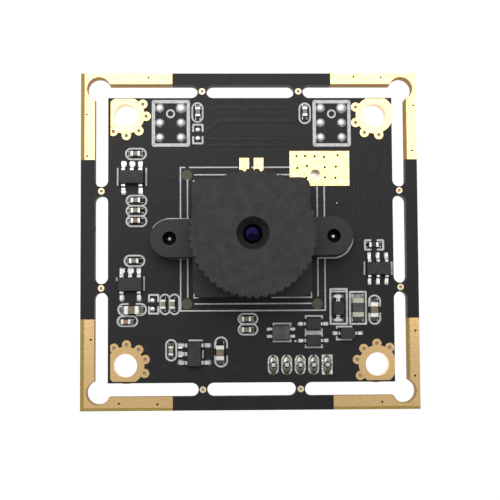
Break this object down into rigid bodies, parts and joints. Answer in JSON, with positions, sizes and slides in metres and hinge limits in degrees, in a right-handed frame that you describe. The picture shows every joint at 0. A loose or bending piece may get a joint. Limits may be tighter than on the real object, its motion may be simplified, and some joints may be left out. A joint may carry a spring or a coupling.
{
  "type": "board camera module",
  "caption": "Square board-level camera module: black circuit board in a breakaway frame, screwed-on lens holder, focusing lens with a knurled head, small surface-mounted parts and a rear connector",
  "frame": {"origin": "middle of the four mounting holes, on the lens axis, on the circuit board's back face", "axes": "+Z from the board's back face towards the lens; +X right and +Y up as seen from the lens side, along the board's edges; the rear connector lies towards -Y"},
  "size_m": [0.0377, 0.0378, 0.0149],
  "materials": {
    "board": "black solder mask, satin",
    "gold": "gold-plated copper",
    "holder_plastic": "moulded, matte",
    "lens_black": "black anodised, fine grain",
    "lens_glass": "purple coating",
    "filter_glass": "polished",
    "ring_black": "matte",
    "screw_steel": "nickel-plated",
    "sensor_ceramic": "matte",
    "silicon": "polished",
    "solder": "satin solder",
    "tinned_cap": "tinned",
    "capacitor_grey": "satin",
    "capacitor_brown": "satin",
    "capacitor_tan": "satin",
    "resistor_black": "satin",
    "bead_black": "satin",
    "bead_cream": "satin",
    "package_black": "moulded epoxy",
    "package_grey": "moulded epoxy",
    "lead_tin": "tinned",
    "housing_white": "moulded nylon",
    "crystal_metal": "satin"
  },
  "bodies": {
    "module": {"circuit_board": "board", "corner_ground_strips": "gold", "mounting_hole_pads": "gold", "shield_ground_pad": "gold", "bridge_vias": "gold", "contact_pads": "gold", "lens_holder": "holder_plastic", "holder_screws": "screw_steel", "ir_filter": "filter_glass", "sensor_package": "sensor_ceramic", "sensor_cover_glass": "filter_glass", "sensor_die": "silicon", "capacitors_0402": "capacitor_grey", "brown_capacitors_0402": "capacitor_brown", "resistor_0402": "resistor_black", "end_caps_0402": "tinned_cap", "capacitors_0603": "capacitor_tan", "end_caps_0603": "tinned_cap", "ferrite_bead": "bead_black", "ferrite_bead_ends": "bead_cream", "solder_joints": "solder", "bare_solder_pads": "solder", "microphone_pad_bumps": "solder", "diode_bodies": "package_black", "diode_leads": "lead_tin", "regulator_bodies": "package_black", "regulator_leads": "lead_tin", "six_lead_chip": "package_black", "six_lead_chip_leads": "lead_tin", "four_lead_chip": "package_grey", "four_lead_chip_leads": "lead_tin", "connector_housing": "housing_white", "connector_pins": "lead_tin", "connector_solder_joints": "solder", "controller_chip": "package_black", "flash_chip": "package_black", "flash_chip_leads": "lead_tin", "crystal": "crystal_metal", "rear_capacitors": "capacitor_grey", "rear_capacitor_ends": "tinned_cap", "rear_solder_joints": "solder"},
    "lens_stack": {"front_lens": "lens_glass", "lens_spacer": "ring_black", "rear_lens": "lens_glass", "lens_retaining_ring": "ring_black"},
    "lens_mount": {"lens_barrel": "lens_black"}
  },
  "joints": [
    {"name": "focus_travel", "type": "slide", "parent": "module", "child": "lens_stack", "axis": [0, 0, 1], "range_m": [-0.0005, 0.0015]},
    {"name": "focus_turn", "type": "hinge", "parent": "lens_stack", "child": "lens_mount", "pos_m": [0, 0, 0.0086], "axis": [0, 0, 1], "range_deg": [-360, 1080]}
  ],
  "couplings": [
    {"joint": "focus_turn", "follows": "focus_travel", "rad_per_m": 12566}
  ]
}
